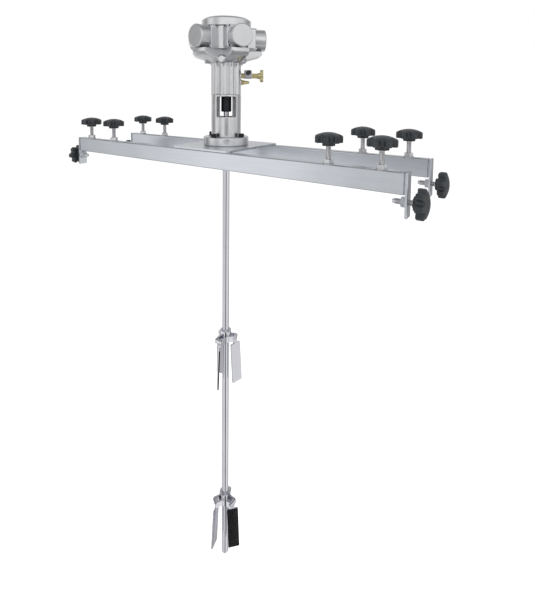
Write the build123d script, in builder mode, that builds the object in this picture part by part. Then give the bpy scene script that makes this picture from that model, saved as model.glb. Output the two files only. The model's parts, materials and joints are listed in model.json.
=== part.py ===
"""Clamp-on tank agitator: a five-cylinder radial air motor on a bridge of two beams, turning a
long shaft with two folding three-blade impellers.

X runs along the beams, Y from the front beam to the rear one, Z is up. The origin is on the
shaft's axis, in the plane of the beams' undersides. Millimetres.
"""
import os
from math import cos, radians, sin

from build123d import *

os.makedirs("parts", exist_ok=True)

# ---------------------------------------------------------------- driving dimensions
# Beams, square to the shaft
beam_length = 1070.0
beam_height = 45.0
beam_width = 24.0
beam_wall = 3.0
beam_corner = 4.0
beam_spacing = 210.0

# End arms, which slide in the beams and carry the clamp plates
arm_clearance = 0.5
arm_length = 230.0
end_gap = 2.5
end_plate_thickness = 5.0
end_plate_width = 26.0
end_plate_drop = 45.0
end_plate_corner = 6.0

# Star-knob screws
stud_radius = 6.0
stud_clearance = 0.05
stud_hole_clearance = 0.5
nut_flats = 19.0
nut_height = 10.0
lock_screw_inset = 48.0
lock_screw_pitch = 117.0
lock_knob_height = 28.5
lock_tip_gap = 0.3
clamp_screw_drop = 15.0
clamp_knob_gap = 9.1
clamp_reach = 26.5
tip_radius = 4.5
tip_length = 4.0
knob_radius = 31.0
knob_lobes = 7
knob_notch_radius = 5.5
knob_lobe_height = 19.5
knob_hub_radius = 14.0
knob_hub_height = 7.0
knob_cap_radius = 17.0
knob_cap_height = 3.5
knob_cap_slope = 40.0
knob_lobe_corner = 2.5
knob_socket_depth = 18.0
knob_socket_gap = 0.3

# Centre plate
plate_length = 200.0
plate_overhang = 1.0
plate_thickness = 5.0
plate_corner = 8.0
plate_hole_radius = 3.5
plate_hole_inset = 8.0
plate_hole_y = -52.0
shaft_hole_radius = 14.0

# Coupling housing
flange_radius = 64.0
flange_height = 24.0
flange_edge = 1.5
flange_bolt_circle_radius = 54.0
flange_bolt_count = 4
flange_screw_radius = 5.0
flange_hole_clearance = 0.5
flange_head_radius = 8.0
flange_head_height = 10.0
flange_socket_radius = 4.0
flange_socket_depth = 5.0
flange_nut_flats = 16.0
flange_nut_height = 8.0
housing_radius = 42.0
housing_height = 118.0
chamber_radius = 33.0
chamber_depth = 65.0
window_width = 54.0
window_height = 57.0
window_rim = 5.0
window_angle = -50.0
window_corner = 4.0
shaft_bore_radius = 12.0

# Agitator shaft and its coupling
shaft_radius = 10.0
shaft_end = -1205.0
shaft_end_edge = 1.0
spigot_radius = 7.5
spigot_length = 39.0
coupling_radius = 14.5
coupling_height = 46.0
coupling_gap = 2.0
coupling_edge = 1.0
running_clearance = 0.03

# Bearings
bearing_radius = 21.0
bearing_height = 12.0

# Radial air motor
cylinder_count = 5
cylinder_angle = -28.0
column_height = 90.0
column_core_radius = 36.0
column_rib_radius = 11.5
column_rib_reach = 42.5
column_small_rib_radius = 7.5
column_small_rib_reach = 41.5
column_bore_radius = 14.0
bowl_height = 19.0
bowl_radius = 92.0
bowl_lip = 6.0
chin_height = 16.0
chin_radius = 101.0
chin_width = 60.0
block_size = 62.0
block_face = 79.0
block_corner = 6.0
crankcase_radius = 62.0
head_radius = 30.5
head_face = 110.0
head_wall = 6.0
head_edge = 2.0
head_screw_inset = 4.8
head_screw_radius = 3.6
head_screw_height = 3.5
boss_radius = 11.5
boss_face = 47.5
boss_drop = 5.75
cover_radius = 69.0
cover_height = 25.0
cover_edge = 6.0
cover_edge_width = 9.5
cover_screw_circle_radius = 56.0

# Crank and pistons
crank_throw = 8.0
eccentric_radius = 20.0
eccentric_height = 22.0
crank_web_radius = 27.0
crank_web_height = 6.0
crank_cavity_radius = 40.0
crank_cavity_height = 44.0
crank_journal_radius = 10.0
piston_radius = 22.0
piston_length = 26.0
piston_middle = 79.0
rod_width = 12.0
slipper_width = 16.0
slipper_thickness = 5.0
slipper_clearance = 0.6

# Air fittings on the column's right
inlet_height = 55.0
inlet_boss_radius = 9.0
nipple_radius = 5.0
nipple_flats = 14.0
nipple_hex_length = 9.0
long_nipple_length = 18.0
nipple_thread_length = 6.0
valve_length = 20.0
valve_width = 20.0
valve_height = 24.0
valve_corner = 3.0
valve_rise = 4.0
valve_knob_radius = 6.6
valve_knob_length = 14.0
valve_knob_notch_count = 8
valve_knob_notch_radius = 0.8
valve_knob_gap = 0.4
valve_stem_radius = 3.0
valve_stem_clearance = 0.05
valve_stem_end_gap = 1.0
valve_knob_rise = 9.0
coupler_length = 16.0
coupler_radius = 8.5
coupler_claw_reach = 17.5
coupler_claw_width = 14.0
coupler_claw_thickness = 8.0
silencer_height = 36.0
silencer_radius = 6.0
silencer_length = 17.0
silencer_slope = 8.0

# Folding impellers
upper_impeller_top = -502.0
lower_impeller_rise = 194.0
impeller_angles = {"upper": 29.0, "lower": -1.0}
hub_radius = 17.0
hub_height = 34.0
hub_edge = 1.0
blade_count = 3
pivot_radius = 28.0
pivot_drop = 24.0
pin_radius = 3.0
pin_head_radius = 5.0
pin_head_height = 3.0
cheek_thickness = 5.0
cheek_reach = 35.0
cheek_half_height = 8.0
cheek_root_depth = 2.0
knuckle_radius = 7.0
knuckle_width = 12.0
neck_depth = 11.0
cheek_clearance = 0.4
pin_clearance = 0.05
blade_reach = 134.0
blade_width = 33.0
blade_thickness = 4.0
blade_start = 16.0
blade_pitch = 45.0
blade_corner = 3.0
blade_splay = 3.0
grub_screw_radius = 3.0
grub_screw_standout = 2.0
grub_screw_drop = 11.0

# ---------------------------------------------------------------- derived levels
beam_half = beam_length / 2
beam_y = {"front": -beam_spacing / 2, "rear": beam_spacing / 2}
arm_width = beam_width - 2 * beam_wall - 2 * arm_clearance
arm_height = beam_height - 2 * beam_wall - 2 * arm_clearance
arm_top = beam_height - beam_wall - arm_clearance
plate_inner = beam_half + end_gap
plate_outer = plate_inner + end_plate_thickness
lock_screw_x = {"outer": beam_half - lock_screw_inset}
lock_screw_x["inner"] = lock_screw_x["outer"] - lock_screw_pitch
lock_knob_base = beam_height + nut_height + lock_knob_height
clamp_knob_base = plate_outer + clamp_knob_gap
clamp_tip = plate_inner - clamp_reach

plate_top = beam_height + plate_thickness
flange_top = plate_top + flange_height
housing_top = flange_top + housing_height
chamber_bottom = housing_top - chamber_depth
column_top = housing_top + column_height
bowl_top = column_top + bowl_height
chin_top = bowl_top + chin_height
block_top = chin_top + block_size
cylinder_z = chin_top + block_size / 2
cover_top = block_top + cover_height
cylinder_step = 360 / cylinder_count
cylinder_angles = [cylinder_angle + i * cylinder_step for i in range(cylinder_count)]
between_angles = [angle + cylinder_step / 2 for angle in cylinder_angles]
inlet_angle = cylinder_angles[1]
impeller_hub_tops = {"upper": upper_impeller_top, "lower": shaft_end + lower_impeller_rise}


def save(part, name):
    """Label a finished piece and write its STEP file."""
    part.label = name
    export_step(part, f"parts/{name}.step")


def outward(angle, radius=0.0, z=0.0):
    """A plane square to the radius at an angle, with its local y axis up."""
    x, y = cos(radians(angle)), sin(radians(angle))
    return Plane(origin=(radius * x, radius * y, z), x_dir=(-y, x, 0), z_dir=(x, y, 0))


# ---------------------------------------------------------------- beams and end arms
for row, y in beam_y.items():
    beam_end = Plane(origin=(-beam_half, y, beam_height / 2), x_dir=(0, 1, 0), z_dir=(1, 0, 0))
    with BuildPart() as beam:
        with BuildSketch(beam_end):
            RectangleRounded(beam_width, beam_height, beam_corner)
            Rectangle(beam_width - 2 * beam_wall, beam_height - 2 * beam_wall, mode=Mode.SUBTRACT)
        extrude(amount=beam_length)
        with BuildSketch(Plane.XY.offset(beam_height)):
            for x in lock_screw_x.values():
                with Locations((x, y), (-x, y)):
                    Circle(stud_radius + stud_hole_clearance)
        extrude(amount=-beam_wall, mode=Mode.SUBTRACT)
    save(beam.part, f"{row}_beam")

with BuildPart() as beam_weld_nuts:
    with BuildSketch(Plane.XY.offset(beam_height)):
        for y in beam_y.values():
            for x in lock_screw_x.values():
                with Locations((x, y), (-x, y)):
                    RegularPolygon(nut_flats / 2, 6, major_radius=False)
                    Circle(stud_radius + stud_clearance, mode=Mode.SUBTRACT)
    extrude(amount=nut_height)
save(beam_weld_nuts.part, "beam_weld_nuts")


def end_arm(side, y):
    """A bar that slides in the beam's end, its clamp plate and the nut welded inside the plate."""
    bar_plane = Plane(
        origin=(side * plate_inner, y, arm_top - arm_height / 2), x_dir=(0, side, 0), z_dir=(-side, 0, 0)
    )
    plate_middle = (beam_height - end_plate_drop) / 2
    plate_plane = Plane(origin=(side * plate_inner, y, plate_middle), x_dir=(0, side, 0), z_dir=(side, 0, 0))
    screw_plane = Plane(
        origin=(side * plate_inner, y, -clamp_screw_drop), x_dir=(0, side, 0), z_dir=(-side, 0, 0)
    )
    with BuildPart() as bar:
        with BuildSketch(bar_plane):
            Rectangle(arm_width, arm_height)
        extrude(amount=arm_length + end_gap)
    with BuildPart() as end_plate:
        with BuildSketch(plate_plane):
            RectangleRounded(end_plate_width, beam_height + end_plate_drop, end_plate_corner)
            with Locations((0, -clamp_screw_drop - plate_middle)):
                Circle(stud_radius + stud_hole_clearance, mode=Mode.SUBTRACT)
        extrude(amount=end_plate_thickness)
    with BuildPart() as nut:
        with BuildSketch(screw_plane):
            RegularPolygon(nut_flats / 2, 6, major_radius=False, rotation=30)
            Circle(stud_radius + stud_clearance, mode=Mode.SUBTRACT)
        extrude(amount=nut_height)
    return Compound(children=[bar.part, end_plate.part, nut.part])


# ---------------------------------------------------------------- star-knob screws
def star_knob(seat):
    """A lobed knob that stands on the seat plane: hub below, star of lobes, low cap."""
    star_top = knob_hub_height + knob_lobe_height
    with BuildPart() as knob:
        with BuildSketch(seat):
            Circle(knob_hub_radius)
        extrude(amount=knob_hub_height)
        with BuildSketch(seat.offset(knob_hub_height)) as star:
            Circle(knob_radius)
            with PolarLocations(knob_radius, knob_lobes):
                Circle(knob_notch_radius, mode=Mode.SUBTRACT)
            fillet(star.vertices(), knob_lobe_corner)
        extrude(amount=knob_lobe_height)
        with BuildSketch(seat.offset(star_top)):
            Circle(knob_cap_radius)
        extrude(amount=knob_cap_height, taper=knob_cap_slope)
        with BuildSketch(seat):
            Circle(stud_radius + stud_clearance)
        extrude(amount=knob_socket_depth, mode=Mode.SUBTRACT)
    return knob.part


def stud(seat, reach):
    """The screw in a knob: a plain-shanked stud with a turned-down tip, reach below the seat."""
    with BuildPart() as screw:
        with BuildSketch(seat.offset(knob_socket_depth - knob_socket_gap)):
            Circle(stud_radius)
        extrude(amount=-(knob_socket_depth - knob_socket_gap + reach - tip_length))
        with BuildSketch(seat.offset(tip_length - reach)):
            Circle(tip_radius)
        extrude(amount=-tip_length)
    return screw.part


for row, y in beam_y.items():
    for end, side in (("left", -1), ("right", 1)):
        save(end_arm(side, y), f"{row}_{end}_end_arm")
        for place, x in lock_screw_x.items():
            lock_seat = Plane.XY.offset(lock_knob_base).shift_origin((side * x, y, lock_knob_base))
            save(star_knob(lock_seat), f"{row}_{end}_{place}_lock_knob")
            save(stud(lock_seat, lock_knob_base - arm_top - lock_tip_gap), f"{row}_{end}_{place}_lock_stud")
        clamp_seat = Plane(
            origin=(side * clamp_knob_base, y, -clamp_screw_drop), x_dir=(0, side, 0), z_dir=(side, 0, 0)
        )
        save(star_knob(clamp_seat), f"{row}_{end}_clamp_knob")
        save(stud(clamp_seat, clamp_knob_base - clamp_tip), f"{row}_{end}_clamp_stud")

# ---------------------------------------------------------------- centre plate and housing
with BuildPart() as centre_plate:
    with BuildSketch(Plane.XY.offset(beam_height)):
        RectangleRounded(plate_length, beam_spacing + beam_width - 2 * plate_overhang, plate_corner)
        Circle(shaft_hole_radius, mode=Mode.SUBTRACT)
        with PolarLocations(flange_bolt_circle_radius, flange_bolt_count):
            Circle(flange_screw_radius + flange_hole_clearance, mode=Mode.SUBTRACT)
        with Locations((plate_length / 2 - plate_hole_inset, plate_hole_y)):
            Circle(plate_hole_radius, mode=Mode.SUBTRACT)
    extrude(amount=plate_thickness)
save(centre_plate.part, "centre_plate")

with BuildPart() as coupling_housing:
    with BuildSketch(Plane.XY.offset(plate_top)):
        Circle(flange_radius)
    extrude(amount=flange_height)
    chamfer(coupling_housing.edges().filter_by(GeomType.CIRCLE), flange_edge)
    with BuildSketch(Plane.XY.offset(flange_top)):
        Circle(housing_radius)
    extrude(amount=housing_height)
    with BuildSketch(Plane.XY.offset(chamber_bottom)):
        Circle(chamber_radius)
    extrude(amount=housing_top - chamber_bottom, mode=Mode.SUBTRACT)
    with BuildSketch(Plane.XY.offset(plate_top)):
        Circle(shaft_bore_radius)
    extrude(amount=chamber_bottom - plate_top, mode=Mode.SUBTRACT)
    with BuildSketch(Plane.XY.offset(chamber_bottom)):
        Circle(bearing_radius)
    extrude(amount=-bearing_height, mode=Mode.SUBTRACT)
    with BuildSketch(outward(window_angle, -2 * housing_radius, housing_top - window_rim - window_height / 2)):
        RectangleRounded(window_width, window_height, window_corner)
    extrude(amount=4 * housing_radius, mode=Mode.SUBTRACT)
    with BuildSketch(Plane.XY.offset(plate_top)):
        with PolarLocations(flange_bolt_circle_radius, flange_bolt_count):
            Circle(flange_screw_radius + flange_hole_clearance)
    extrude(amount=flange_height, mode=Mode.SUBTRACT)
save(coupling_housing.part, "coupling_housing")

with BuildPart() as flange_screws:
    with BuildSketch(Plane.XY.offset(flange_top)):
        with PolarLocations(flange_bolt_circle_radius, flange_bolt_count):
            Circle(flange_head_radius)
    extrude(amount=flange_head_height)
    with BuildSketch(Plane.XY.offset(flange_top + flange_head_height)):
        with PolarLocations(flange_bolt_circle_radius, flange_bolt_count):
            RegularPolygon(flange_socket_radius, 6, major_radius=False)
    extrude(amount=-flange_socket_depth, mode=Mode.SUBTRACT)
    with BuildSketch(Plane.XY.offset(flange_top)):
        with PolarLocations(flange_bolt_circle_radius, flange_bolt_count):
            Circle(flange_screw_radius)
    extrude(amount=-(flange_height + plate_thickness + flange_nut_height))
    with BuildSketch(Plane.XY.offset(beam_height)):
        with PolarLocations(flange_bolt_circle_radius, flange_bolt_count):
            RegularPolygon(flange_nut_flats / 2, 6, major_radius=False)
    extrude(amount=-flange_nut_height)
save(flange_screws.part, "flange_screws")

# ---------------------------------------------------------------- radial motor
motor_bearing_levels = (housing_top, bowl_top)
cavity_bottom = cylinder_z - crank_cavity_height / 2

with BuildPart() as motor_body:
    # Five chins on a bowl that runs down to the column
    with BuildSketch(Plane.XY.offset(column_top)):
        Circle(crankcase_radius)
        for angle in cylinder_angles:
            with Locations(Location((0, 0), angle)):
                with Locations((chin_radius / 2, 0)):
                    Rectangle(chin_radius, chin_width)
    extrude(amount=bowl_height + chin_height)
    with BuildSketch(Plane.XZ):
        with BuildLine():
            Polyline(
                (0, column_top),
                (housing_radius, column_top),
                (bowl_radius, bowl_top - bowl_lip / 2),
                (chin_radius, bowl_top + bowl_lip),
                (chin_radius, chin_top),
                (0, chin_top),
                close=True,
            )
        make_face()
    revolve(axis=Axis.Z, mode=Mode.INTERSECT)
    # Crankcase and cylinder blocks
    with BuildSketch(Plane.XY.offset(chin_top)):
        Circle(crankcase_radius)
    extrude(amount=block_size)
    for angle in cylinder_angles:
        with BuildSketch(outward(angle, block_face, cylinder_z)):
            RectangleRounded(block_size, block_size, block_corner)
        extrude(amount=-block_face)
    # Fluted column with a round boss on each broad rib
    with BuildSketch(Plane.XY.offset(housing_top)):
        Circle(column_core_radius)
        with PolarLocations(
            column_rib_reach - column_rib_radius, cylinder_count, start_angle=between_angles[0]
        ):
            Circle(column_rib_radius)
        with PolarLocations(
            column_small_rib_reach - column_small_rib_radius, cylinder_count, start_angle=cylinder_angles[0]
        ):
            Circle(column_small_rib_radius)
    extrude(amount=column_height + bowl_height)
    for angle in between_angles:
        with BuildSketch(outward(angle, boss_face, bowl_top - boss_drop)):
            Circle(boss_radius)
        extrude(amount=-column_rib_radius)
    with BuildSketch(outward(inlet_angle, column_rib_reach, housing_top + inlet_height)):
        Circle(inlet_boss_radius)
    extrude(amount=-column_small_rib_radius)
    with BuildSketch(outward(inlet_angle, column_rib_reach, housing_top + silencer_height)):
        Circle(inlet_boss_radius)
    extrude(amount=-column_small_rib_radius)
    # Shaft bore, bearing seats, crank chamber, cylinder bores and air ports
    with BuildSketch(Plane.XY.offset(housing_top)):
        Circle(column_bore_radius)
    extrude(amount=cylinder_z - housing_top, mode=Mode.SUBTRACT)
    for level in motor_bearing_levels:
        with BuildSketch(Plane.XY.offset(level)):
            Circle(bearing_radius)
        extrude(amount=bearing_height, mode=Mode.SUBTRACT)
    with BuildSketch(Plane.XY.offset(cavity_bottom)):
        Circle(crank_cavity_radius)
    extrude(amount=crank_cavity_height, mode=Mode.SUBTRACT)
    for angle in cylinder_angles:
        with BuildSketch(outward(angle, 0, cylinder_z)):
            Circle(piston_radius + running_clearance)
        extrude(amount=block_face, mode=Mode.SUBTRACT)
    for level in (inlet_height, silencer_height):
        with BuildSketch(outward(inlet_angle, column_rib_reach, housing_top + level)):
            Circle(nipple_radius)
        extrude(amount=-nipple_thread_length, mode=Mode.SUBTRACT)
save(motor_body.part, "motor_body")

with BuildPart() as top_cover:
    with BuildSketch(Plane.XY.offset(block_top)):
        Circle(cover_radius)
    extrude(amount=cover_height)
    chamfer(top_cover.faces().sort_by(Axis.Z)[-1].edges(), cover_edge, cover_edge_width)
save(top_cover.part, "top_cover")

cylinder_heads = []
for angle in cylinder_angles:
    with BuildPart() as head:
        with BuildSketch(outward(angle, block_face, cylinder_z)):
            Circle(head_radius)
            Circle(piston_radius + running_clearance, mode=Mode.SUBTRACT)
        extrude(amount=head_face - block_face - head_wall)
        with BuildSketch(outward(angle, head_face - head_wall, cylinder_z)):
            Circle(head_radius)
        extrude(amount=head_wall)
        outer_face = head.faces().sort_by(Axis((0, 0, 0), (cos(radians(angle)), sin(radians(angle)), 0)))[-1]
        chamfer(outer_face.edges(), head_edge)
    cylinder_heads.append(head.part)
save(Compound(children=cylinder_heads), "cylinder_heads")

with BuildPart() as motor_screws:
    corner = block_size / 2 - head_screw_inset
    for angle in cylinder_angles:
        with BuildSketch(outward(angle, block_face, cylinder_z)):
            with GridLocations(2 * corner, 2 * corner, 2, 2):
                Circle(head_screw_radius)
        extrude(amount=head_screw_height)
    with BuildSketch(Plane.XY.offset(cover_top)):
        with PolarLocations(
            cover_screw_circle_radius, cylinder_count, start_angle=between_angles[0]
        ):
            Circle(head_screw_radius)
    extrude(amount=head_screw_height)
save(motor_screws.part, "motor_screws")

# ---------------------------------------------------------------- rotating line
coupling_bottom = housing_top - coupling_gap - coupling_height
shaft_shoulder = chamber_bottom + coupling_gap
spigot_top = shaft_shoulder + spigot_length

bearings = []
for level in (chamber_bottom - bearing_height, *motor_bearing_levels):
    with BuildPart() as bearing:
        with BuildSketch(Plane.XY.offset(level)):
            Circle(bearing_radius)
            Circle(shaft_radius + running_clearance, mode=Mode.SUBTRACT)
        extrude(amount=bearing_height)
    bearings.append(bearing.part)
save(Compound(children=bearings), "shaft_bearings")

with BuildPart() as agitator_shaft:
    with BuildSketch(Plane.XY.offset(shaft_end)):
        Circle(shaft_radius)
    extrude(amount=shaft_shoulder - shaft_end)
    with BuildSketch(Plane.XY.offset(shaft_shoulder)):
        Circle(spigot_radius)
    extrude(amount=spigot_top - shaft_shoulder)
    chamfer(agitator_shaft.faces().sort_by(Axis.Z)[0].edges(), shaft_end_edge)
save(agitator_shaft.part, "agitator_shaft")

with BuildPart() as shaft_coupling:
    with BuildSketch(Plane.XY.offset(coupling_bottom)):
        Circle(coupling_radius)
        Circle(spigot_radius, mode=Mode.SUBTRACT)
    extrude(amount=coupling_height)
    chamfer(shaft_coupling.edges().filter_by(GeomType.CIRCLE).group_by(SortBy.RADIUS)[-1], coupling_edge)
save(shaft_coupling.part, "shaft_coupling")

with BuildPart() as crankshaft:
    with BuildSketch(Plane.XY.offset(spigot_top + coupling_gap)):
        Circle(spigot_radius)
    extrude(amount=housing_top - coupling_gap / 2 - spigot_top - coupling_gap)
    with BuildSketch(Plane.XY.offset(housing_top - coupling_gap / 2)):
        Circle(crank_journal_radius)
    extrude(amount=cylinder_z + eccentric_height / 2 + crank_web_height - housing_top + coupling_gap / 2)
    with BuildSketch(Plane.XY.offset(cylinder_z - eccentric_height / 2)):
        with Locations((crank_throw, 0)):
            Circle(eccentric_radius)
    extrude(amount=eccentric_height)
    with BuildSketch(Plane.XY.offset(cylinder_z - eccentric_height / 2 - crank_web_height)):
        Circle(crank_web_radius)
    extrude(amount=crank_web_height)
save(crankshaft.part, "crankshaft")

slipper_face = crank_throw + eccentric_radius + crank_throw + slipper_clearance
for number, angle in enumerate(cylinder_angles, start=1):
    crown = piston_middle + piston_length / 2
    with BuildPart() as piston:
        with BuildSketch(outward(angle, crown, cylinder_z)):
            Circle(piston_radius)
        extrude(amount=-piston_length)
        with BuildSketch(outward(angle, crown - piston_length, cylinder_z)):
            Rectangle(rod_width, rod_width)
        extrude(amount=-(crown - piston_length - slipper_face - slipper_thickness))
        with BuildSketch(outward(angle, slipper_face, cylinder_z)):
            Rectangle(slipper_width, slipper_width)
        extrude(amount=slipper_thickness)
    save(piston.part, f"piston_{number}")

# ---------------------------------------------------------------- air fittings
inlet_z = housing_top + inlet_height
nipple_end = column_rib_reach + nipple_hex_length
valve_end = nipple_end + valve_length
coupler_start = valve_end + long_nipple_length


def nipple(start, length):
    """A hexagon nipple with a threaded spigot at each end."""
    with BuildPart() as fitting:
        with BuildSketch(outward(inlet_angle, start, inlet_z)):
            RegularPolygon(nipple_flats / 2, 6, major_radius=False)
        extrude(amount=length)
        with BuildSketch(outward(inlet_angle, start - nipple_thread_length, inlet_z)):
            Circle(nipple_radius)
        extrude(amount=length + 2 * nipple_thread_length)
    return fitting.part


valve_middle = (nipple_end + valve_end) / 2
valve_z = inlet_z + valve_rise
stem_side = outward(inlet_angle - 90, valve_width / 2, inlet_z + valve_knob_rise)
stem_plane = stem_side.shift_origin(
    (
        valve_middle * cos(radians(inlet_angle)) + valve_width / 2 * cos(radians(inlet_angle - 90)),
        valve_middle * sin(radians(inlet_angle)) + valve_width / 2 * sin(radians(inlet_angle - 90)),
        inlet_z + valve_knob_rise,
    )
)

with BuildPart() as throttle_valve_body:
    with BuildSketch(outward(inlet_angle, nipple_end, valve_z)):
        RectangleRounded(valve_width, valve_height, valve_corner)
    extrude(amount=valve_length)
    for end, direction in ((nipple_end, 1), (valve_end, -1)):
        with BuildSketch(outward(inlet_angle, end, inlet_z)):
            Circle(nipple_radius)
        extrude(amount=direction * nipple_thread_length, mode=Mode.SUBTRACT)
    with BuildSketch(stem_plane):
        Circle(valve_stem_radius + valve_stem_clearance)
    extrude(amount=-valve_width / 2, mode=Mode.SUBTRACT)
save(throttle_valve_body.part, "throttle_valve_body")

with BuildPart() as throttle_knob:
    with BuildSketch(stem_plane.offset(valve_knob_gap)):
        Circle(valve_knob_radius)
        with PolarLocations(valve_knob_radius, valve_knob_notch_count):
            Circle(valve_knob_notch_radius, mode=Mode.SUBTRACT)
    extrude(amount=valve_knob_length)
    with BuildSketch(stem_plane.offset(valve_knob_gap)):
        Circle(valve_stem_radius)
    extrude(amount=valve_stem_end_gap - valve_width / 2)
save(throttle_knob.part, "throttle_knob")

with BuildPart() as claw_coupling:
    with BuildSketch(outward(inlet_angle, coupler_start, inlet_z)):
        Circle(coupler_radius)
    extrude(amount=coupler_length)
    with BuildSketch(outward(inlet_angle, coupler_start + coupler_length - coupler_claw_thickness, inlet_z)):
        SlotOverall(2 * coupler_claw_reach, coupler_claw_width, rotation=90)
    extrude(amount=coupler_claw_thickness)
    with BuildSketch(outward(inlet_angle, coupler_start, inlet_z)):
        Circle(nipple_radius)
    extrude(amount=coupler_length, mode=Mode.SUBTRACT)
inlet_pieces = [
    nipple(column_rib_reach, nipple_hex_length),
    nipple(valve_end, long_nipple_length),
    claw_coupling.part,
]
save(Compound(children=inlet_pieces), "air_inlet_fittings")

with BuildPart() as exhaust_silencer:
    silencer_z = housing_top + silencer_height
    with BuildSketch(outward(inlet_angle, column_rib_reach, silencer_z)):
        RegularPolygon(nipple_flats / 2, 6, major_radius=False)
    extrude(amount=nipple_thread_length)
    with BuildSketch(outward(inlet_angle, column_rib_reach, silencer_z)):
        Circle(nipple_radius)
    extrude(amount=-nipple_thread_length)
    with BuildSketch(outward(inlet_angle, column_rib_reach + nipple_thread_length, silencer_z)):
        Circle(silencer_radius)
    extrude(amount=silencer_length, taper=silencer_slope)
save(exhaust_silencer.part, "exhaust_silencer")

# ---------------------------------------------------------------- folding impellers
cheek_gap = knuckle_width / 2 + cheek_clearance
pins = []
grub_screws = []


def impeller_hub(top, base_angle):
    """A hub clamped to the shaft, with a pair of cheeks for each blade."""
    with BuildPart() as hub:
        with BuildSketch(Plane.XY.offset(top)):
            Circle(hub_radius)
        extrude(amount=-hub_height)
        chamfer(hub.edges().filter_by(GeomType.CIRCLE), hub_edge)
        for i in range(blade_count):
            angle = base_angle + i * 360 / blade_count
            cheek_face = outward(angle - 90, -cheek_gap - cheek_thickness, top - pivot_drop)
            with BuildSketch(cheek_face):
                with Locations((cheek_reach / 2, 0)):
                    SlotOverall(cheek_reach, 2 * cheek_half_height)
            extrude(amount=2 * (cheek_gap + cheek_thickness))
            with BuildSketch(outward(angle, hub_radius - cheek_root_depth, top - pivot_drop)):
                Rectangle(2 * cheek_gap, 2 * hub_height)
            extrude(amount=cheek_reach, mode=Mode.SUBTRACT)
            with BuildSketch(cheek_face):
                with Locations((pivot_radius, 0)):
                    Circle(pin_radius)
            extrude(amount=2 * (cheek_gap + cheek_thickness), mode=Mode.SUBTRACT)
        with BuildSketch(Plane.XY.offset(top)):
            Circle(shaft_radius)
        extrude(amount=-hub_height, mode=Mode.SUBTRACT)
    return hub.part


def hinge_pin(top, angle):
    """A headed pin through one pair of cheeks."""
    length = 2 * (cheek_gap + cheek_thickness)
    with BuildPart() as pin:
        with BuildSketch(outward(angle - 90, -length / 2, top - pivot_drop)):
            with Locations((pivot_radius, 0)):
                Circle(pin_radius)
        extrude(amount=length)
        with BuildSketch(outward(angle - 90, length / 2, top - pivot_drop)):
            with Locations((pivot_radius, 0)):
                Circle(pin_head_radius)
        extrude(amount=pin_head_height)
    return pin.part


def blade(top, angle):
    """A pitched paddle on a knuckle, hanging from its pin a little outside the vertical."""
    x, y = cos(radians(angle)), sin(radians(angle))
    pivot = Vector(pivot_radius * x, pivot_radius * y, top - pivot_drop)
    down = Vector(x * sin(radians(blade_splay)), y * sin(radians(blade_splay)), -cos(radians(blade_splay)))
    across = Vector(-y, x, 0)
    face_on = across.rotate(Axis((0, 0, 0), tuple(down)), blade_pitch)
    with BuildPart() as paddle:
        with BuildSketch(outward(angle - 90, -knuckle_width / 2, top - pivot_drop)):
            with Locations((pivot_radius, 0)):
                Circle(knuckle_radius)
        extrude(amount=knuckle_width)
        with BuildSketch(Plane(origin=pivot, x_dir=tuple(across), z_dir=tuple(down))):
            Rectangle(knuckle_width, neck_depth)
        with BuildSketch(Plane(origin=pivot + down * blade_start, x_dir=tuple(face_on), z_dir=tuple(down))):
            Rectangle(knuckle_width, blade_thickness)
        loft()
        with BuildSketch(
            Plane(origin=pivot + down * blade_start, x_dir=tuple(face_on), z_dir=tuple(face_on.cross(down)))
        ):
            with Locations((0, (blade_reach - blade_start) / 2)):
                RectangleRounded(blade_width, blade_reach - blade_start, blade_corner)
        extrude(amount=blade_thickness / 2, both=True)
        with BuildSketch(outward(angle - 90, -knuckle_width / 2, top - pivot_drop)):
            with Locations((pivot_radius, 0)):
                Circle(pin_radius + pin_clearance)
        extrude(amount=knuckle_width, mode=Mode.SUBTRACT)
    return paddle.part


for level, top in impeller_hub_tops.items():
    save(impeller_hub(top, impeller_angles[level]), f"{level}_impeller_hub")
    for i in range(blade_count):
        angle = impeller_angles[level] + i * 360 / blade_count
        pins.append(hinge_pin(top, angle))
        save(blade(top, angle), f"{level}_blade_{i + 1}")
    with BuildPart() as grub_screw:
        grub_angle = impeller_angles[level] - 180 / blade_count
        with BuildSketch(outward(grub_angle, hub_radius, top - grub_screw_drop)):
            Circle(grub_screw_radius)
        extrude(amount=grub_screw_standout)
    grub_screws.append(grub_screw.part)
save(Compound(children=pins + grub_screws), "impeller_pins_and_screws")
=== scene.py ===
"""The looks of the clamp-on tank agitator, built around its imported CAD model.

Metres, in the CAD frame: X runs along the beams, Y from the front beam to the rear one, Z is up,
and the origin is on the shaft's axis in the plane of the beams' undersides.
"""
import json
import math

import bmesh
import bpy
from mathutils import Matrix, Vector, noise


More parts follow.
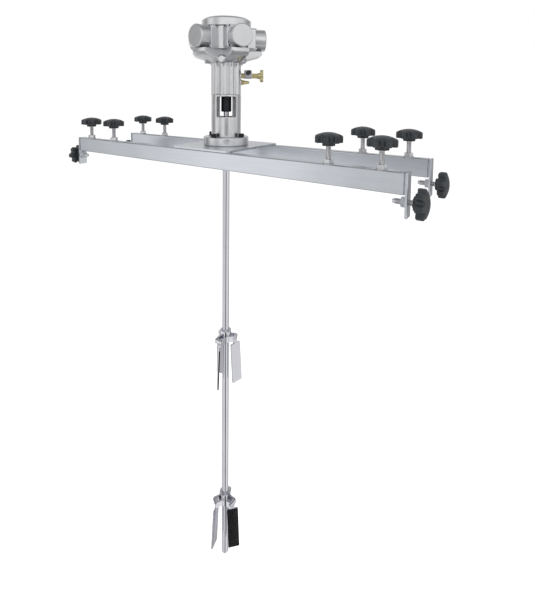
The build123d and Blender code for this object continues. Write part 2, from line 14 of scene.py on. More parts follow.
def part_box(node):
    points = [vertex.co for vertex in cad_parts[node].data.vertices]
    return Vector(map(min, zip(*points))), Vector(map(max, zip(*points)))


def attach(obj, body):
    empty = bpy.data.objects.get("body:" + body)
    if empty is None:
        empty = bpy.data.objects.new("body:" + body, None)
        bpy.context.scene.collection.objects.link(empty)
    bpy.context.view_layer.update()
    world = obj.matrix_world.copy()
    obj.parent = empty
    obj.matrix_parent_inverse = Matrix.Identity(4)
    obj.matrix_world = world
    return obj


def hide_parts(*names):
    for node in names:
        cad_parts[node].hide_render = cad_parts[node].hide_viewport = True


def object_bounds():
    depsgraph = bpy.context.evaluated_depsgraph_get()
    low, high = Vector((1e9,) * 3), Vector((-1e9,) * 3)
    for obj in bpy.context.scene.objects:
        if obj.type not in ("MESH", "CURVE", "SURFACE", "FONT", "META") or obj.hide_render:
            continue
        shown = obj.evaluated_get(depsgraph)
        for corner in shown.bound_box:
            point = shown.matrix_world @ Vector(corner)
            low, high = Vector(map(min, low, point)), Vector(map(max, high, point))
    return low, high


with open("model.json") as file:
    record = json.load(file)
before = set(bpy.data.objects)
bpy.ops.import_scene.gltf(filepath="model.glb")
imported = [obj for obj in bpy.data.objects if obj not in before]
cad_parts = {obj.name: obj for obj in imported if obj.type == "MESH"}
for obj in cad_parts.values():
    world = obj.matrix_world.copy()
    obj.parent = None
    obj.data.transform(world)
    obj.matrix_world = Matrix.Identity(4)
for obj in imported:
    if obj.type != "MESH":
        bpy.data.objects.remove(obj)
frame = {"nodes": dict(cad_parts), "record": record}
cad_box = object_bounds()
nodes = frame["nodes"]
MM = 0.001


def add_object(name, data):
    """An object that holds a mesh, a lamp or a camera, in the scene's collection."""
    made = bpy.data.objects.new(name, data)
    bpy.context.scene.collection.objects.link(made)
    return made


def finished_mesh(name, build):
    """A mesh from a bmesh, which is freed."""
    mesh = bpy.data.meshes.new(name)
    build.to_mesh(mesh)
    build.free()
    return mesh


def middle(node):
    """The centre of a CAD node's box."""
    low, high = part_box(node)
    return (low + high) / 2


# ---------------------------------------------------------------- camera
camera_place = Vector((0.73625, -0.89987, 0.18823))
camera_yaw = math.radians(32.983)
camera_pitch = math.radians(-3.6)
camera_roll = math.radians(0.569)
focal_length = 24.39
camera_shift = (-0.0054, -0.295)

camera_data = bpy.data.cameras.new("camera")
camera_data.lens = focal_length
camera_data.sensor_width = 36
camera_data.shift_x, camera_data.shift_y = camera_shift
camera_data.clip_start = 0.05
camera_data.clip_end = 60
camera = add_object("camera", camera_data)
bpy.context.scene.camera = camera
camera.matrix_world = (
    Matrix.Translation(camera_place)
    @ Matrix.Rotation(camera_yaw, 4, "Z")
    @ Matrix.Rotation(math.radians(90) + camera_pitch, 4, "X")
    @ Matrix.Rotation(camera_roll, 4, "Z")
)


# ---------------------------------------------------------------- shader nodes
# The part of a noise's range that holds most of its values
noise_middle = (0.3, 0.7)


class Nodes:
    """A node tree with helpers that add its nodes and join them."""

    def __init__(self, tree):
        self.tree = tree

    def add(self, kind, **settings):
        made = self.tree.nodes.new(kind)
        for name, value in settings.items():
            setattr(made, name, value)
        return made

    def link(self, source, target):
        self.tree.links.new(source, target)

    def combine(self, operation, first, second):
        """A sum, product or the like of two values."""
        made = self.add("ShaderNodeMath", operation=operation)
        self.link(first, made.inputs[0])
        self.link(second, made.inputs[1])
        return made.outputs["Value"]

    def spread(self, value, source_range, target_range, interpolation="LINEAR"):
        """Maps a value from one range to another, and holds it at their ends."""
        made = self.add("ShaderNodeMapRange", interpolation_type=interpolation)
        made.inputs["From Min"].default_value, made.inputs["From Max"].default_value = source_range
        made.inputs["To Min"].default_value, made.inputs["To Max"].default_value = target_range
        self.link(value, made.inputs["Value"])
        return made.outputs["Result"]


class Shader(Nodes):
    """A Principled material with helpers that add texture nodes in object space."""

    def __init__(self, name, **constants):
        self.material = bpy.data.materials.new(name)
        self.material.use_nodes = True
        super().__init__(self.material.node_tree)
        self.shader = self.tree.nodes["Principled BSDF"]
        for socket, value in constants.items():
            self.shader.inputs[socket.replace("_", " ")].default_value = value
        self.place = self.add("ShaderNodeTexCoord").outputs["Object"]

    def noise(self, scale, stretch=(1, 1, 1), detail=4, roughness=0.55):
        """Noise of so many waves a metre, stretched by a factor along each axis."""
        mapping = self.add("ShaderNodeMapping")
        mapping.inputs["Scale"].default_value = stretch
        self.link(self.place, mapping.inputs["Vector"])
        made = self.add("ShaderNodeTexNoise")
        made.inputs["Scale"].default_value = scale
        made.inputs["Detail"].default_value = detail
        made.inputs["Roughness"].default_value = roughness
        self.link(mapping.outputs["Vector"], made.inputs["Vector"])
        return made.outputs["Fac"]

    def blend(self, value, low, high):
        """Spreads the middle of a noise value over low to high."""
        return self.spread(value, noise_middle, (low, high))

    def tint(self, value, dark, light):
        """A colour between two, by a noise value."""
        made = self.add("ShaderNodeMix", data_type="RGBA")
        made.inputs["A"].default_value = (*dark, 1)
        made.inputs["B"].default_value = (*light, 1)
        self.link(self.blend(value, 0, 1), made.inputs["Factor"])
        return made.outputs["Result"]

    def darken(self, colour, value, amount):
        """Multiplies a colour by 1 - amount to 1, by a noise value."""
        made = self.add("ShaderNodeMix", data_type="RGBA", blend_type="MULTIPLY")
        made.inputs["Factor"].default_value = 1
        self.link(colour, made.inputs["A"])
        grey = self.add("ShaderNodeCombineColor")
        level = self.blend(value, 1 - amount, 1)
        for channel in ("Red", "Green", "Blue"):
            self.link(level, grey.inputs[channel])
        self.link(grey.outputs["Color"], made.inputs["B"])
        return made.outputs["Result"]

    def bump(self, value, height, previous=None):
        """Raises the surface by up to height in metres."""
        made = self.add("ShaderNodeBump")
        made.inputs["Strength"].default_value = 1
        made.inputs["Distance"].default_value = height
        self.link(value, made.inputs["Height"])
        if previous is not None:
            self.link(previous, made.inputs["Normal"])
        self.link(made.outputs["Normal"], self.shader.inputs["Normal"])
        return made.outputs["Normal"]

    def colour(self, source):
        self.link(source, self.shader.inputs["Base Color"])

    def roughness(self, source):
        self.link(source, self.shader.inputs["Roughness"])


def brushed_metal(name, dark, light, rough, along, line_scale, line_height):
    """Satin metal with fine brush lines along one axis, soft clouds and faint handling marks."""
    made = Shader(name, Metallic=1.0)
    stretch = [1.0, 1.0, 1.0]
    stretch["XYZ".index(along)] = 0.012
    lines = made.noise(line_scale, stretch, detail=3)
    clouds = made.noise(5, detail=2)
    marks = made.noise(30, detail=3, roughness=0.5)
    made.colour(made.darken(made.darken(made.tint(clouds, dark, light), lines, 0.10), marks, 0.03))
    made.roughness(made.blend(marks, *rough))
    made.bump(lines, line_height)
    return made.material


# Pointiness from deep in a hollow to an even surface, over which the painted shade in hollows fades out
hollow_pointiness = (0.42, 0.50)


def cast_metal(name, dark, light, rough, grain_scale, grain_height, painted_hollow_shade=0):
    """Blasted cast metal: fine grain, soft clouds, an uneven skin, and painted shade darkening its
    hollows.
    """
    made = Shader(name, Metallic=1.0)
    grain = made.noise(grain_scale, detail=2)
    clouds = made.noise(14, detail=4)
    skin = made.noise(90, detail=3)
    colour = made.darken(made.tint(clouds, dark, light), grain, 0.10)
    # Painted shade: the colour is darkened in hollows, where shade falls
    if painted_hollow_shade:
        pointiness = made.add("ShaderNodeNewGeometry").outputs["Pointiness"]
        colour = made.darken(colour, made.spread(pointiness, hollow_pointiness, noise_middle), painted_hollow_shade)
    made.colour(colour)
    made.roughness(made.blend(clouds, *rough))
    made.bump(grain, grain_height, made.bump(skin, 0.04 * MM))
    return made.material


def moulded_plastic(name, dark, light, rough, grain_height):
    """Grained plastic, paler where hands have rubbed it."""
    made = Shader(name)
    made.shader.inputs["IOR"].default_value = 1.5
    grain = made.noise(1600, detail=2)
    rubbed = made.noise(60, detail=4)
    made.colour(made.tint(rubbed, dark, light))
    made.roughness(made.blend(rubbed, *rough))
    made.bump(grain, grain_height)
    return made.material


def oxide_steel(name, dark, light, rough):
    """Blackened steel with thin spots in its oxide."""
    made = Shader(name, Metallic=0.6)
    patches = made.noise(180, detail=5, roughness=0.65)
    grain = made.noise(1300, detail=2)
    made.colour(made.tint(patches, dark, light))
    made.roughness(made.blend(patches, *rough))
    made.bump(grain, 0.03 * MM)
    return made.material


MATERIALS = {
    "satin_stainless": brushed_metal(
        "satin_stainless", (0.65, 0.675, 0.72), (0.72, 0.745, 0.79), (0.29, 0.33), "X", 900, 0.015 * MM
    ),
    "polished_steel": brushed_metal(
        "polished_steel", (0.67, 0.67, 0.72), (0.73, 0.73, 0.78), (0.10, 0.12), "Z", 1100, 0.004 * MM
    ),
    "screw_steel": cast_metal(
        "screw_steel", (0.62, 0.62, 0.64), (0.74, 0.74, 0.76), (0.20, 0.34), 700, 0.015 * MM
    ),
    "satin_aluminium": cast_metal(
        "satin_aluminium", (0.66, 0.665, 0.68), (0.74, 0.745, 0.76), (0.26, 0.38), 1100, 0.03 * MM
    ),
    "piston_alloy": cast_metal(
        "piston_alloy", (0.52, 0.52, 0.53), (0.62, 0.62, 0.63), (0.25, 0.35), 900, 0.02 * MM
    ),
    "valve_body_metal": cast_metal(
        "valve_body_metal", (0.36, 0.355, 0.40), (0.50, 0.49, 0.54), (0.28, 0.42), 900, 0.04 * MM
    ),
    "brass": cast_metal("brass", (0.40, 0.38, 0.18), (0.74, 0.63, 0.34), (0.22, 0.38), 800, 0.03 * MM),
    "knob_plastic": moulded_plastic(
        "knob_plastic", (0.017, 0.021, 0.025), (0.034, 0.039, 0.044), (0.32, 0.46), 0.04 * MM
    ),
    "black_plastic": moulded_plastic(
        "black_plastic", (0.010, 0.010, 0.011), (0.020, 0.020, 0.022), (0.35, 0.50), 0.03 * MM
    ),
    "black_steel": oxide_steel("black_steel", (0.008, 0.009, 0.013), (0.030, 0.031, 0.038), (0.30, 0.50)),
}
# The castings' own finish: satin aluminium with painted shade darkening its hollows
cast_skin_with_painted_shade = cast_metal(
    "cast_skin_with_painted_shade", (0.66, 0.665, 0.68), (0.74, 0.745, 0.76), (0.26, 0.38), 1100, 0.03 * MM, painted_hollow_shade=0.45
)


# ---------------------------------------------------------------- CAD nodes
weld_distance = 0.002 * MM


def dress(node, slot, edge=0.0, segments=2, sharp=35):
    """Gives a CAD node its material, and rounds its edges by a bevel modifier."""
    part = nodes[node]
    part.data.materials.clear()
    part.data.materials.append(MATERIALS[slot])
    if edge:
        weld = part.modifiers.new("weld", "WELD")
        weld.merge_threshold = weld_distance
        bevel = part.modifiers.new("round", "BEVEL")
        bevel.width = edge * MM
        bevel.segments = segments
        bevel.limit_method = "ANGLE"
        bevel.angle_limit = math.radians(sharp)
        bevel.miter_outer = "MITER_ARC"
        normals = part.modifiers.new("normals", "WEIGHTED_NORMAL")
        normals.keep_sharp = True


slots = {part["node"]: part["material_slot"] for part in frame["record"]["subparts"]}
# How far each node's edges are rounded, in mm
edges = {
    "front_beam": 0.8,
    "rear_beam": 0.8,
    "centre_plate": 0.6,
    "beam_weld_nuts": 0.5,
    "flange_screws": 0.5,
    "top_cover": 3.0,
    "cylinder_heads": 0.8,
    "throttle_valve_body": 0.6,
    "throttle_knob": 0.3,
    "air_inlet_fittings": 0.4,
    "exhaust_silencer": 0.4,
    "shaft_coupling": 0.4,
    "upper_impeller_hub": 0.4,
    "lower_impeller_hub": 0.4,
    "impeller_pins_and_screws": 0.3,
}
sheet_edge = 0.6
for node, slot in slots.items():
    edge = edges.get(node, 0.0)
    if "_blade_" in node or node.endswith("_end_arm"):
        edge = sheet_edge
    dress(node, slot, edge)


# ---------------------------------------------------------------- mesh helpers
def piece(name, build, slot, body, replaces=(), smooth=50):
    """Makes a mesh object from a bmesh, smooth below an angle, riding on a CAD body."""
    bmesh.ops.recalc_face_normals(build, faces=build.faces)
    for face in build.faces:
        face.smooth = True
    for edge in build.edges:
        if len(edge.link_faces) == 2 and edge.calc_face_angle(0) > math.radians(smooth):
            edge.smooth = False
    made = add_object(name, finished_mesh(name, build))
    made.data.materials.append(MATERIALS[slot])
    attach(made, body)
    if replaces:
        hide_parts(*replaces)
    return made


def skin(build, rings, start_cap=True, end_cap=True):
    """Joins closed rings of equal count into one closed surface."""
    rows = [[build.verts.new(point) for point in ring] for ring in rings]
    count = len(rows[0])
    for low, high in zip(rows, rows[1:]):
        for i in range(count):
            j = (i + 1) % count
            build.faces.new((low[i], low[j], high[j], high[i]))
    if start_cap:
        build.faces.new(rows[0])
    if end_cap:
        build.faces.new(rows[-1])


def ring_solid(build, rings):
    """Joins rings into a closed loop, for a solid with a hole through it."""
    rows = [[build.verts.new(point) for point in ring] for ring in rings]
    count = len(rows[0])
    for k, low in enumerate(rows):
        high = rows[(k + 1) % len(rows)]
        for i in range(count):
            j = (i + 1) % count
            build.faces.new((low[i], low[j], high[j], high[i]))


def circle(radius, height, count=48, wave=None):
    """A ring of points round local z, whose radius grows by wave of the turn."""
    points = []
    for i in range(count):
        turn = 2 * math.pi * i / count
        reach = radius + (wave(turn) if wave else 0)
        points.append(Vector((reach * math.cos(turn), reach * math.sin(turn), height)))
    return points


def hexagon_wave(flat):
    """How far a hexagon stands past the circle inside it, whose radius is flat, by turn."""

    def wave(turn):
        within = (turn % (math.pi / 3)) - math.pi / 6
        return flat / math.cos(within) - flat

    return wave


def placed(rings, frame_matrix):
    """Rings moved from a local frame to the object's."""
    return [[frame_matrix @ point for point in ring] for ring in rings]


def axis_frame(origin, z_axis, x_axis):
    """A frame at origin with its z along one direction and its x along another."""
    z_axis, x_axis = Vector(z_axis).normalized(), Vector(x_axis).normalized()
    y_axis = z_axis.cross(x_axis)
    turn = Matrix((x_axis, y_axis, z_axis)).transposed().to_4x4()
    return Matrix.Translation(origin) @ turn


# ---------------------------------------------------------------- star knobs
knob_lobes = 7
knob_radius = 31.0 * MM
notch_radius = 6.4 * MM
notch_centre = 29.2 * MM
hub_radius = 14.3 * MM
hub_notch_radius = 2.6 * MM
hub_height = 7.0 * MM
lobe_round = 2.2 * MM
dome_height = 30.0 * MM
dome_fall = 8.2 * MM
points_per_lobe = 28
round_steps = 4
# The hub's foot as steps inward and up
hub_profile = ((1.0 * MM, 0.0), (0.3 * MM, 0.3 * MM), (0.0, 1.0 * MM), (0.0, hub_height))
# Rings over the crowned top, from the lobes in to the groove round the cap, and over the cap
crown_radii = (19.5 * MM, 15.0 * MM, 12.6 * MM)
groove_radius = 12.3 * MM
groove_depth = 0.5 * MM
cap_radii = (12.0 * MM, 8.0 * MM, 3.0 * MM)


def star_outline(radius, notch, centre):
    """A circle with round notches, its corners softened, as points in turn order."""
    points = []
    total = knob_lobes * points_per_lobe
    for i in range(total):
        turn = 2 * math.pi * i / total
        from_notch = (turn * knob_lobes / (2 * math.pi) + 0.5) % 1 - 0.5
        angle = from_notch * 2 * math.pi / knob_lobes
        reach = radius
        across = centre * math.sin(angle)
        if abs(across) < notch:
            near_wall = centre * math.cos(angle) - math.sqrt(notch**2 - across**2)
            reach = min(reach, near_wall)
        points.append(Vector((reach * math.cos(turn), reach * math.sin(turn), 0)))
    for _ in range(2):
        points = [
            (points[i - 1] + 2 * points[i] + points[(i + 1) % total]) / 4 for i in range(total)
        ]
    return points


def inset(points, distance):
    """Moves each point of an outline inward along its normal."""
    count = len(points)
    moved = []
    for i, point in enumerate(points):
        along = points[(i + 1) % count] - points[i - 1]
        inward = Vector((-along.y, along.x, 0)).normalized()
        moved.append(point + inward * distance)
    return moved


def dome(point):
    """Height of the knob's crowned top over a point."""
    return dome_height - dome_fall * (point.xy.length / knob_radius) ** 2


def star_knob_rings():
    """The knob's surface from the hub's seat up over the crowned top."""
    lobes = star_outline(knob_radius, notch_radius, notch_centre)
    hub = star_outline(hub_radius, hub_notch_radius, hub_radius)
    rings = []
    for distance, height in hub_profile:
        rings.append([Vector((p.x, p.y, height)) for p in inset(hub, distance)])
    for k in range(round_steps + 1):
        turn = math.pi / 2 * k / round_steps
        distance = lobe_round * (1 - math.sin(turn))
        height = hub_height + lobe_round * (1 - math.cos(turn))
        rings.append([Vector((p.x, p.y, height)) for p in inset(lobes, distance)])
    for k in range(round_steps + 1):
        turn = math.pi / 2 * k / round_steps
        distance = lobe_round * (1 - math.cos(turn))
        drop = lobe_round * (1 - math.sin(turn))
        rings.append([Vector((p.x, p.y, dome(p) - drop)) for p in inset(lobes, distance)])
    count = len(lobes)
    for radius in crown_radii:
        rings.append([p + Vector((0, 0, dome(p))) for p in circle(radius, 0, count)])
    groove = circle(groove_radius, 0, count)
    rings.append([p + Vector((0, 0, dome(p) - groove_depth)) for p in groove])
    for radius in cap_radii:
        rings.append([p + Vector((0, 0, dome(p))) for p in circle(radius, 0, count)])
    return rings


# ---------------------------------------------------------------- threaded studs
thread_pitch = 1.75 * MM
thread_depth = 0.95 * MM
thread_steps = 4
thread_sides = 20
stud_radius = 6.0 * MM
tip_radius = 4.5 * MM
tip_length = 4.0 * MM
tip_chamfer = 0.6 * MM
# The thread starts a little above the tip and stops short of the head end
thread_lead = 0.3 * MM
thread_stop = 19.0 * MM
thread_run_out = 0.5 * MM
shank_relief = 0.3 * MM


def thread_rings(radius, start, end):
    """A helical thread as rings along z, from start to end, with run-outs at both ends."""
    count = max(2, round((end - start) / thread_pitch * thread_steps))
    rings = []
    for k in range(count + 1):
        height = start + (end - start) * k / count
        fade = min(1.0, k / thread_steps, (count - k) / thread_steps)
        ring = []
        for i in range(thread_sides):
            phase = (height / thread_pitch - i / thread_sides) % 1
            cut = thread_depth * fade * abs(2 * phase - 1)
            reach = radius - cut - (1 - fade) * thread_depth / 2
            turn = 2 * math.pi * i / thread_sides
            ring.append(Vector((reach * math.cos(turn), reach * math.sin(turn), height)))
        rings.append(ring)
    return rings


def stud_rings(length):
    """A stud from its turned-down tip at 0 to its head end inside the knob."""
    rings = [circle(tip_radius - tip_chamfer, 0, thread_sides)]
    rings.append(circle(tip_radius, tip_chamfer, thread_sides))
    rings.append(circle(tip_radius, tip_length, thread_sides))
    rings += thread_rings(stud_radius, tip_length + thread_lead, length - thread_stop)
    shank_radius = stud_radius - shank_relief
    rings.append(circle(shank_radius, length - thread_stop + thread_run_out, thread_sides))
    rings.append(circle(shank_radius, length, thread_sides))
    return rings


# How far each knob has been turned from the first, in degrees, as hands leave them
knob_turns = {
    "front_right_outer_lock": -21,
    "rear_right_inner_lock": -18,
    "rear_right_outer_lock": 25,
    "front_left_inner_lock": 14,
    "rear_left_outer_lock": -12,
    "front_right_clamp": 9,
    "rear_right_clamp": -16,
    "front_left_clamp": 20,
}


def star_screw(name, direction):
    """The detailed knob and stud that stand for one star-knob screw's two CAD nodes."""
    direction = Vector(direction)
    stud_low, stud_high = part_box(f"{name}_stud")
    axis_point = (stud_low + stud_high) / 2
    centre = axis_point + direction * (middle(f"{name}_knob") - axis_point).dot(direction)
    across = Vector((0, direction.x, 0)) if direction.x else Vector((1, 0, 0))
    start = centre - direction * dome_height / 2
    turned = Matrix.Rotation(math.radians(knob_turns.get(name, 0)), 4, "Z")
    build = bmesh.new()
    skin(build, placed(star_knob_rings(), axis_frame(start, direction, across) @ turned))
    piece(f"{name}_star", build, "knob_plastic", f"{name}_knob", (f"{name}_knob",), smooth=40)
    length = max(stud_high - stud_low)
    start = axis_point - direction * length / 2
    build = bmesh.new()
    skin(build, placed(stud_rings(length), axis_frame(start, direction, across)))
    piece(f"{name}_threaded_stud", build, "screw_steel", f"{name}_screw", (f"{name}_stud",), smooth=70)


rows = ("front", "rear")
ends = (("left", -1), ("right", 1))
for row in rows:
    for end, side in ends:
        star_screw(f"{row}_{end}_outer_lock", (0, 0, 1))
        star_screw(f"{row}_{end}_inner_lock", (0, 0, 1))
        star_screw(f"{row}_{end}_clamp", (side, 0, 0))


# ---------------------------------------------------------------- end arms
plate_thickness = 5.0 * MM
nut_flats = 19.0 * MM
nut_depth = 10.0 * MM
nut_chamfer_depth, nut_chamfer_width = 0.8 * MM, 0.6 * MM
arm_edge = 0.5 * MM
stud_hole = 6.2 * MM
bar_width = 17.0 * MM
bar_bottom, bar_top = 3.5 * MM, 41.5 * MM


def rectangle(half_width, low, high, depth, count=48):
    """Points round a rectangle in the plane across local z, matched by turn to a circle's."""
    points = []
    for i in range(count):
        turn = 2 * math.pi * i / count
        across, along = math.cos(turn), math.sin(turn)
        limit = high if along > 0 else -low
        reach = min(
            half_width / abs(across) if abs(across) > 1e-6 else math.inf,
            limit / abs(along) if abs(along) > 1e-6 else math.inf,
        )
        points.append(Vector((reach * across, reach * along, depth)))
    corners = ((half_width, high), (-half_width, high), (-half_width, low), (half_width, low))
    for corner in corners:
        nearest = min(range(count), key=lambda k: (points[k].xy - Vector(corner)).length)
        points[nearest] = Vector((*corner, depth))
    return points


def end_arm(row, end, side):
    """An arm's bar, its square-cornered end plate, and the weld nut inside the plate."""
    arm = f"{row}_{end}_end_arm"
    low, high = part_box(arm)
    screw = middle(f"{row}_{end}_clamp_stud")
    inner = (high.x - plate_thickness) if side > 0 else (low.x + plate_thickness)
    half_width = (high.y - low.y) / 2
    axes = axis_frame(Vector((inner, screw.y, screw.z)), (side, 0, 0), (0, side, 0))
    plate_low, plate_high = low.z - screw.z, high.z - screw.z
    rim = arm_edge
    build = bmesh.new()
    plate = []
    for inset_by, depth in ((rim, 0), (0, rim), (0, plate_thickness - rim), (rim, plate_thickness)):
        low_side, high_side = plate_low + inset_by, plate_high - inset_by
        plate.append(rectangle(half_width - inset_by, low_side, high_side, depth))
    plate += [circle(stud_hole, plate_thickness), circle(stud_hole, 0)]
    ring_solid(build, placed(plate, axes))
    flats = hexagon_wave(nut_flats / 2)
    nut = [
        circle(nut_flats / 2, 0, wave=flats),
        circle(nut_flats / 2, -nut_depth + nut_chamfer_depth, wave=flats),
        circle(nut_flats / 2 - nut_chamfer_width, -nut_depth),
        circle(stud_hole, -nut_depth),
        circle(stud_hole, 0),
    ]
    ring_solid(build, placed(nut, axes))
    bar_start = low.x if side > 0 else high.x
    bar_length = abs(inner - bar_start)
    bar_axes = axis_frame(
        Vector((bar_start, screw.y, (bar_bottom + bar_top) / 2)), (side, 0, 0), (0, side, 0)
    )
    half_height = (bar_top - bar_bottom) / 2
    bar = []
    for inset_by, depth in ((rim, 0), (0, rim), (0, bar_length)):
        tall = half_height - inset_by
        bar.append(rectangle(bar_width / 2 - inset_by, -tall, tall, depth))
    skin(build, placed(bar, bar_axes))
    piece(f"{row}_{end}_arm_and_plate", build, "satin_stainless", arm, (arm,), smooth=30)


for row in rows:
    for end, side in ends:
        end_arm(row, end, side)

# ---------------------------------------------------------------- weld beads
bead_radius = 1.5 * MM
bead_sides = 8
bead_ripple, bead_ripple_step = 0.14, 2.1
bead_unevenness, bead_waves_per_metre = 0.16, 400
bead_points = 60
clamp_bead_seed = 3
bead_standoff = 0.4 * MM
nut_reach = 10.6 * MM


def bead(build, path, radius, seed):
    """A closed weld bead along a path, with the ripples that a weld pool leaves."""
    count = len(path)
    rings = []
    for i, point in enumerate(path):
        ahead = (path[(i + 1) % count] - path[i - 1]).normalized()
        side = ahead.orthogonal().normalized()
        up = ahead.cross(side)
        uneven = noise.noise(point * bead_waves_per_metre + Vector((seed, 0, 0)))
        ripple = bead_ripple * math.sin(i * bead_ripple_step)
        swell = radius * (1 + ripple + bead_unevenness * uneven)
        ring = []
        for k in range(bead_sides):
            turn = 2 * math.pi * k / bead_sides
            ring.append(point + (side * math.cos(turn) + up * math.sin(turn)) * swell)
        rings.append(ring)
    ring_solid(build, rings)


def nut_bead_path(frame_matrix):
    """The foot of a weld nut, where its bead lies."""
    return [frame_matrix @ point for point in circle(nut_reach, 0, bead_points)]


nut_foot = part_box("beam_weld_nuts")[0].z
nut_places = []
for row in rows:
    for end, side in ends:
        for lock in ("outer", "inner"):
            stud = middle(f"{row}_{end}_{lock}_lock_stud")
            nut_places.append(Vector((stud.x, stud.y, nut_foot + bead_standoff)))
build = bmesh.new()
for seed, place in enumerate(nut_places):
    bead(build, nut_bead_path(axis_frame(place, (0, 0, 1), (1, 0, 0))), bead_radius, seed)
piece("nut_weld_beads", build, "screw_steel", "mixer_frame", smooth=180)

for row in rows:
    for end, side in ends:
        arm = f"{row}_{end}_end_arm"
        arm_low, arm_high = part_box(arm)
        stud = middle(f"{row}_{end}_clamp_stud")
        inner_x = (arm_high.x - plate_thickness) if side > 0 else (arm_low.x + plate_thickness)
        place = Vector((inner_x - side * bead_standoff, stud.y, stud.z))
        build = bmesh.new()
        path = nut_bead_path(axis_frame(place, (side, 0, 0), (0, 1, 0)))
        bead(build, path, bead_radius, clamp_bead_seed)
        piece(f"{row}_{end}_clamp_nut_bead", build, "screw_steel", arm, smooth=180)


# ---------------------------------------------------------------- socket screws
screw_radius, screw_height = 3.6 * MM, 3.4 * MM
screw_socket = 1.6 * MM
screw_rim = 0.35 * MM
screw_sides = 24
# Share of the head's height at which its socket ends
socket_floor = 0.35
head_socket_flat, grub_socket_flat = 2.3 * MM, 1.7 * MM
socket_depth = 0.6 * MM
# The painted shade in a socket, a dark face, stands just proud, and is lowest inside this share of its
# radius
socket_lip, socket_face, socket_face_share = 0.05 * MM, 0.02 * MM, 0.8


def socket_screw(build, place, direction):
    """A cap screw's head with a rounded rim and a hexagon socket."""
    rim = screw_rim
    rings = [circle(screw_radius, 0, screw_sides)]
    rings.append(circle(screw_radius, screw_height - rim, screw_sides))
    rings.append(circle(screw_radius - 0.3 * rim, screw_height - 0.3 * rim, screw_sides))
    rings.append(circle(screw_radius - rim, screw_height, screw_sides))
    flats = hexagon_wave(screw_socket)
    rings.append(circle(screw_socket, screw_height, screw_sides, flats))
    rings.append(circle(screw_socket, screw_height * socket_floor, screw_sides, flats))
    skin(build, placed(rings, axis_frame(place, direction, Vector(direction).orthogonal())))


def painted_socket_shade(build, place, direction, flat):
    """A dark piece of painted shade inside a hexagon socket, its floor just over the screw's face."""
    face = flat * socket_face_share
    rings = []
    for radius, height in ((flat, -socket_depth), (flat, socket_lip), (face, socket_face)):
        rings.append(circle(radius, height, screw_sides, hexagon_wave(radius)))
    skin(build, placed(rings, axis_frame(place, direction, Vector(direction).orthogonal())))


cylinder_count = 5
cylinder_step = 360 / cylinder_count
first_cylinder = -28.0
first_valley = first_cylinder + cylinder_step / 2
block_face = 79.0 * MM
screw_corner = 26.2 * MM
cylinder_drop = 31.0 * MM
cylinder_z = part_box("motor_body")[1].z - cylinder_drop
cover_screw_reach = 56.0 * MM
cover_screw_sink = 3.1 * MM
cover_screw_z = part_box("top_cover")[1].z - cover_screw_sink


def outward(angle):
    """The level direction at an angle in degrees."""
    turn = math.radians(angle)
    return Vector((math.cos(turn), math.sin(turn), 0))


def block_corners(angle, reach):
    """The four screw places at the corners of a cylinder block."""
    out = outward(angle)
    across = Vector((-out.y, out.x, 0))
    for u in (-1, 1):
        for w in (-1, 1):
            place = out * reach + across * u * screw_corner
            place.z = cylinder_z + w * screw_corner
            yield place


build = bmesh.new()
for k in range(cylinder_count):
    angle = first_cylinder + cylinder_step * k
    for place in block_corners(angle, block_face):
        socket_screw(build, place, outward(angle))
    between = math.radians(angle) + math.pi / cylinder_count
    cover_x, cover_y = cover_screw_reach * math.cos(between), cover_screw_reach * math.sin(between)
    socket_screw(build, Vector((cover_x, cover_y, cover_screw_z)), (0, 0, 1))
piece("motor_socket_screws", build, "screw_steel", "mixer_frame", ("motor_screws",))

# Painted shade: dark pieces stand in the motor screws' sockets
build = bmesh.new()
for k in range(cylinder_count):
    angle = first_cylinder + cylinder_step * k
    for place in block_corners(angle, block_face + screw_height):
        painted_socket_shade(build, place, outward(angle), head_socket_flat)
piece("motor_screw_socket_shade", build, "black_steel", "mixer_frame")

# Each impeller hub's grub screw sits between two of its blades
impeller_hub_radius = 17.0 * MM
grub_standout = 2.0 * MM
grub_drop = 11.0 * MM
first_blades = {"upper_impeller_hub": 29.0, "lower_impeller_hub": -1.0}
grub_from_blade = -60
build = bmesh.new()
for hub, first_blade in first_blades.items():
    out = outward(first_blade + grub_from_blade)
    place = out * (impeller_hub_radius + grub_standout)
    place.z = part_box(hub)[1].z - grub_drop
    # Painted shade: a dark piece stands in the grub screw's socket
    painted_socket_shade(build, place, out, grub_socket_flat)
piece("hub_grub_socket_shade", build, "black_steel", "drive")

# ---------------------------------------------------------------- castings
# Round bosses at the head of each broad rib, and the motor's flare from column to bowl
boss_start_mm = 40
boss_reach = 61.0 * MM
boss_size = 9.8 * MM
boss_root = 1.2 * MM
boss_rim, boss_rim_step = 1.4 * MM, 0.4 * MM
boss_z = 289.0 * MM
column_core = 36.0 * MM
valley_angles = [first_valley + cylinder_step * k for k in range(cylinder_count)]
cylinder_angles = [first_cylinder + cylinder_step * k for k in range(cylinder_count)]
# Each rib's centre and radius in the column's section, and its angle
ribs = [(31.0 * MM, 11.5 * MM, angle) for angle in valley_angles]
ribs += [(34.0 * MM, 7.5 * MM, angle) for angle in cylinder_angles]
flare_bottom, flare_top = 266.0 * MM, 288.0 * MM
flare_reach = 15.0 * MM
flare_core = 30.0 * MM
flare_sink = 0.4 * MM
flare_steps = 7
flare_points = 240


def column_radius(turn):
    """The fluted column's outer radius at a turn."""
    reach = column_core
    for centre, radius, angle in ribs:
        off = turn - math.radians(angle)
        side = centre * math.sin(off)
        if math.cos(off) > 0 and abs(side) < radius:
            reach = max(reach, centre * math.cos(off) + math.sqrt(radius**2 - side**2))
    return reach


